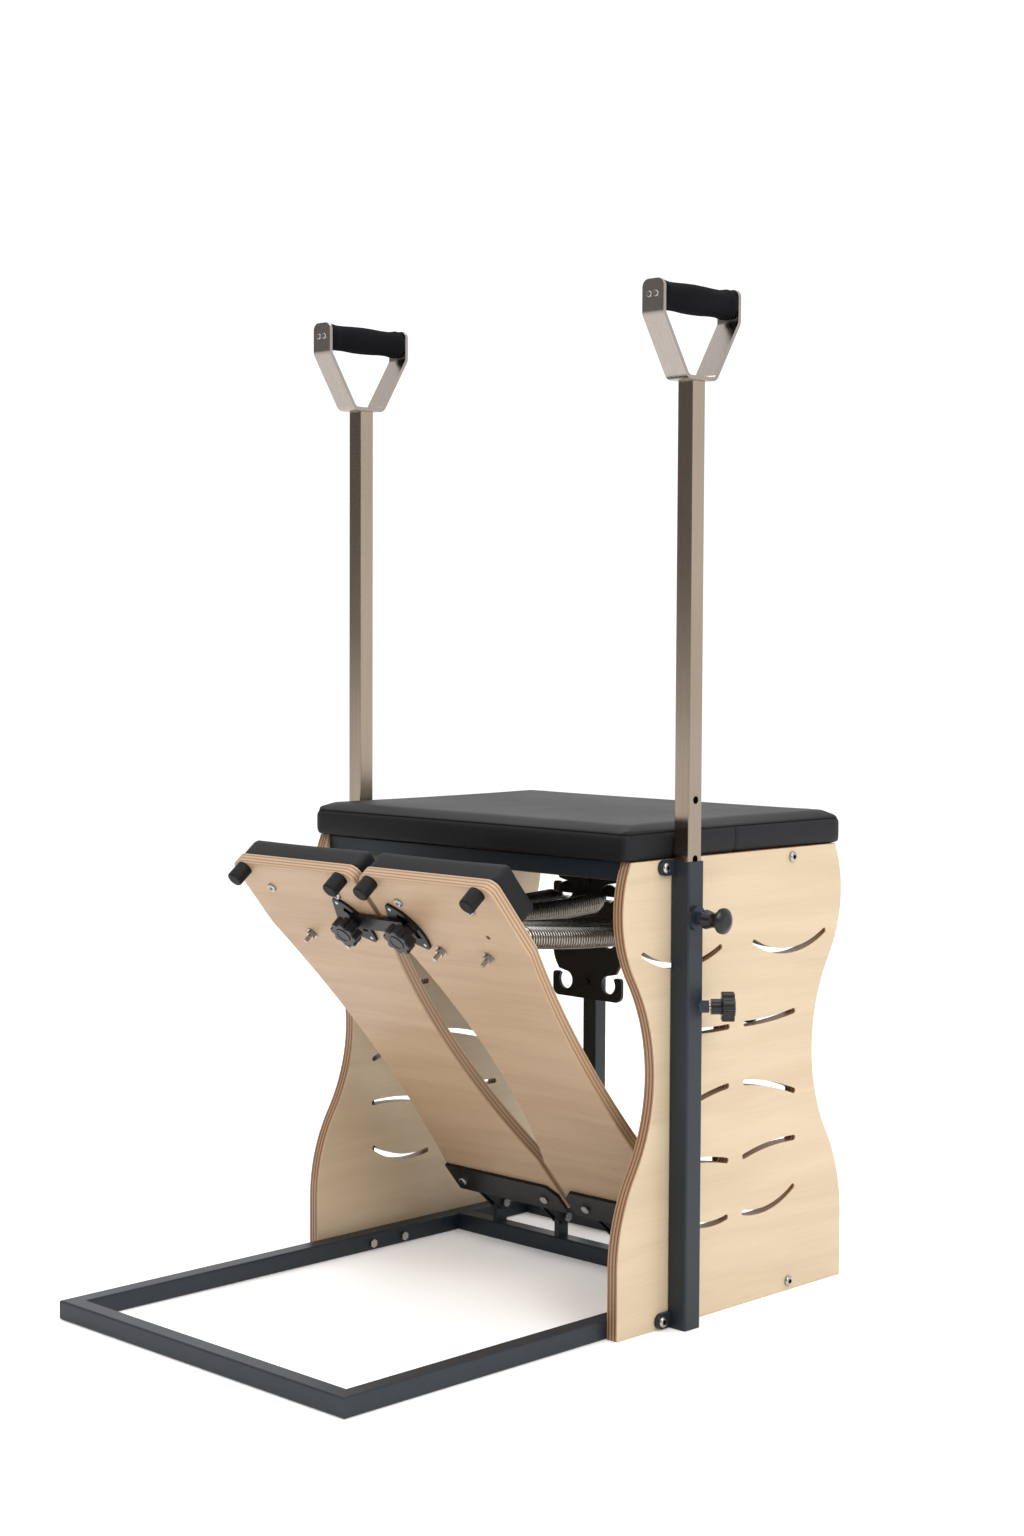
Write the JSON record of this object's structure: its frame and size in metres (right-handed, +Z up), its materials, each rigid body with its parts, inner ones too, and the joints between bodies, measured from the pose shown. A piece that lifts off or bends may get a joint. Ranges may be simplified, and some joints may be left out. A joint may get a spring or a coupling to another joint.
{
  "type": "pilates chair",
  "caption": "Pilates chair: padded seat on waisted plywood sides, split hinged pedals pulled up by coil springs, a pedal lock bar, and handle poles that slide in side sockets.",
  "frame": {"origin": "on the floor, in the middle of the overall width and depth", "axes": "+Z up, the pedals face -Y, +X is the right side seen from the front"},
  "size_m": [0.754, 0.901, 1.327],
  "materials": {
    "frame_paint": "satin powder coat",
    "plywood": "clear lacquered birch plywood",
    "spring_steel": "bright spring wire",
    "stainless": "brushed",
    "zinc": "zinc plated",
    "black_steel": "satin black",
    "vinyl": "soft black vinyl",
    "foam": "matt black foam",
    "knob_plastic": "moulded black",
    "rubber": "matt black"
  },
  "bodies": {
    "frame": {"front_bar": "frame_paint", "left_rail": "frame_paint", "right_rail": "frame_paint", "pivot_crossbar": "frame_paint", "rear_bar": "frame_paint", "pivot_bolts": "zinc", "left_panel": "plywood", "right_panel": "plywood", "left_upper_rail": "frame_paint", "right_upper_rail": "frame_paint", "upper_front_bar": "frame_paint", "upper_rear_bar": "frame_paint", "panel_bolts": "zinc", "seat_board": "plywood", "seat_cushion": "vinyl", "left_socket": "frame_paint", "right_socket": "frame_paint", "left_pin_housing": "frame_paint", "right_pin_housing": "frame_paint", "left_hook_plate": "black_steel", "right_hook_plate": "black_steel", "hook_plate_screws": "black_steel", "tree_posts": "frame_paint"},
    "left_handle": {"left_pole": "stainless", "left_handle_bracket": "stainless", "left_grip_core": "zinc", "left_grip": "foam"},
    "left_pin": {"left_pull_pin": "knob_plastic"},
    "left_clamp": {"left_clamp_screw": "zinc", "left_clamp_knob": "knob_plastic"},
    "left_pedal": {"left_pedal_board": "plywood", "left_pedal_pad": "vinyl", "left_bumpers": "rubber", "left_hinge_plate": "black_steel", "left_pedal_bolts": "zinc", "left_eye_bolts": "zinc", "left_lock_plate": "black_steel"},
    "left_lock": {"left_lock_knob": "knob_plastic"},
    "left_spring_rear": {"left_rear_hooks": "spring_steel"},
    "left_spring_coil": {"left_spring_coils": "spring_steel"},
    "left_spring_front": {"left_front_hooks": "spring_steel"},
    "right_handle": {"right_pole": "stainless", "right_handle_bracket": "stainless", "right_grip_core": "zinc", "right_grip": "foam"},
    "right_pin": {"right_pull_pin": "knob_plastic"},
    "right_clamp": {"right_clamp_screw": "zinc", "right_clamp_knob": "knob_plastic"},
    "right_pedal": {"right_pedal_board": "plywood", "right_pedal_pad": "vinyl", "right_bumpers": "rubber", "right_hinge_plate": "black_steel", "right_pedal_bolts": "zinc", "right_eye_bolts": "zinc", "right_lock_plate": "black_steel"},
    "right_lock": {"right_lock_knob": "knob_plastic"},
    "right_spring_rear": {"right_rear_hooks": "spring_steel"},
    "right_spring_coil": {"right_spring_coils": "spring_steel"},
    "right_spring_front": {"right_front_hooks": "spring_steel"},
    "link": {"lock_bar": "black_steel"}
  },
  "joints": [
    {"name": "left_pedal_swing", "type": "hinge", "parent": "frame", "child": "left_pedal", "pos_m": [-0.116, 0.256, 0.054], "axis": [1, 0, 0], "range_deg": [0, 49.8], "stiffness_Nm_per_rad": 60, "springref_deg": -17.19},
    {"name": "left_spring_swing", "type": "hinge", "parent": "frame", "child": "left_spring_rear", "pos_m": [-0.126, 0.3845, 0.4955], "axis": [1, 0, 0], "range_deg": [0, 31.8]},
    {"name": "left_spring_stretch", "type": "slide", "parent": "left_spring_rear", "child": "left_spring_coil", "axis": [0, -0.9998, 0.0205], "range_m": [0, 0.338], "deforming": ["left_spring_coils"]},
    {"name": "left_spring_front_swing", "type": "hinge", "parent": "left_pedal", "child": "left_spring_front", "pos_m": [-0.126, -0.08183, 0.51036], "axis": [1, 0, 0], "range_deg": [-18.04, 0]},
    {"name": "left_pole_slide", "type": "slide", "parent": "frame", "child": "left_handle", "axis": [0, 0, 1], "range_m": [-0.15, 0.075]},
    {"name": "left_pin_pull", "type": "slide", "parent": "frame", "child": "left_pin", "axis": [-1, 0, 0], "range_m": [-0.008, 0]},
    {"name": "left_clamp_turn", "type": "hinge", "parent": "frame", "child": "left_clamp", "pos_m": [-0.336, 0.1245, 0.4145], "axis": [-0.7071, 0.7071, 0], "continuous": true},
    {"name": "left_lock_turn", "type": "hinge", "parent": "left_pedal", "child": "left_lock", "pos_m": [-0.04598, -0.14155, 0.51751], "axis": [0, 0.7711, 0.6368], "continuous": true},
    {"name": "right_pedal_swing", "type": "hinge", "parent": "frame", "child": "right_pedal", "pos_m": [0.116, 0.256, 0.054], "axis": [1, 0, 0], "range_deg": [0, 49.8], "stiffness_Nm_per_rad": 60, "springref_deg": -17.19},
    {"name": "right_spring_swing", "type": "hinge", "parent": "frame", "child": "right_spring_rear", "pos_m": [0.126, 0.3845, 0.4955], "axis": [1, 0, 0], "range_deg": [0, 31.8]},
    {"name": "right_spring_stretch", "type": "slide", "parent": "right_spring_rear", "child": "right_spring_coil", "axis": [0, -0.9998, 0.0205], "range_m": [0, 0.338], "deforming": ["right_spring_coils"]},
    {"name": "right_spring_front_swing", "type": "hinge", "parent": "right_pedal", "child": "right_spring_front", "pos_m": [0.126, -0.08183, 0.51036], "axis": [1, 0, 0], "range_deg": [-18.04, 0]},
    {"name": "right_pole_slide", "type": "slide", "parent": "frame", "child": "right_handle", "axis": [0, 0, 1], "range_m": [-0.15, 0.075]},
    {"name": "right_pin_pull", "type": "slide", "parent": "frame", "child": "right_pin", "axis": [1, 0, 0], "range_m": [-0.008, 0]},
    {"name": "right_clamp_turn", "type": "hinge", "parent": "frame", "child": "right_clamp", "pos_m": [0.336, 0.1245, 0.4145], "axis": [0.7071, 0.7071, 0], "continuous": true},
    {"name": "right_lock_turn", "type": "hinge", "parent": "right_pedal", "child": "right_lock", "pos_m": [0.05602, -0.14155, 0.51751], "axis": [0, 0.7711, 0.6368], "continuous": true},
    {"name": "lock_bar_swing", "type": "hinge", "parent": "left_pedal", "child": "link", "pos_m": [-0.04598, -0.14155, 0.51751], "axis": [0, 0.7711, 0.6368], "range_deg": [0, 80]}
  ],
  "couplings": [
    {"joint": "right_pedal_swing", "follows": "left_pedal_swing", "ratio": 1},
    {"joint": "left_spring_swing", "follows": "left_pedal_swing", "ratio": 0.63809},
    {"joint": "left_spring_stretch", "follows": "left_pedal_swing", "m_per_rad": 0.3888},
    {"joint": "left_spring_front_swing", "follows": "left_pedal_swing", "ratio": -0.36191},
    {"joint": "right_spring_swing", "follows": "left_pedal_swing", "ratio": 0.63809},
    {"joint": "right_spring_stretch", "follows": "left_pedal_swing", "m_per_rad": 0.3888},
    {"joint": "right_spring_front_swing", "follows": "left_pedal_swing", "ratio": -0.36191}
  ]
}
